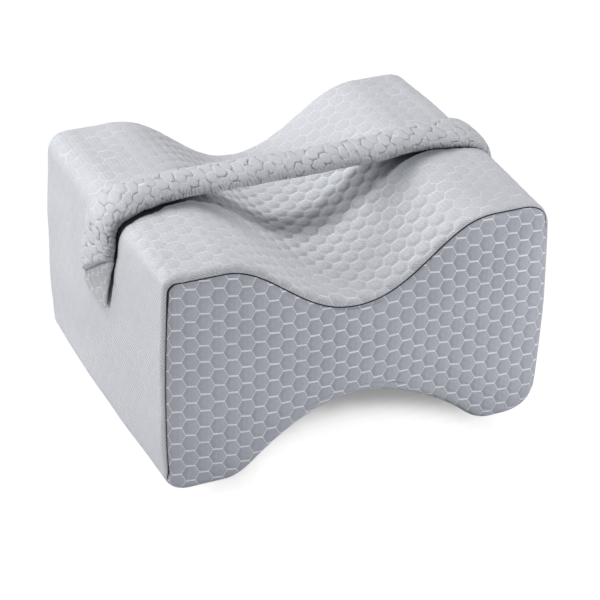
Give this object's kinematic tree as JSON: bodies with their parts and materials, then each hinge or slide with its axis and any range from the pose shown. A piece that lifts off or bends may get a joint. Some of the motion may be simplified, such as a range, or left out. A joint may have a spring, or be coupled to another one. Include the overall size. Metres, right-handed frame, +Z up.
{
  "type": "leg elevation pillow",
  "caption": "Foam pillow, hourglass from the front, with a scooped top for a leg, an arched underside and a gathered strap over the scoop.",
  "frame": {"origin": "on the floor under the middle of the pillow", "axes": "+X across the scoop from side to side, +Y from the front panel to the back panel, +Z up"},
  "size_m": [0.2716, 0.2012, 0.1563],
  "materials": {
    "cover_cloth": "knitted, raised hexagon cells",
    "panel_cloth": "knitted, flat hexagon cells edged with light stitches",
    "strap_cloth": "knitted, gathered and puckered"
  },
  "bodies": {
    "root": {"pillow_body": "cover_cloth", "front_panel": "panel_cloth", "back_panel": "panel_cloth", "strap": "strap_cloth"}
  },
  "joints": []
}
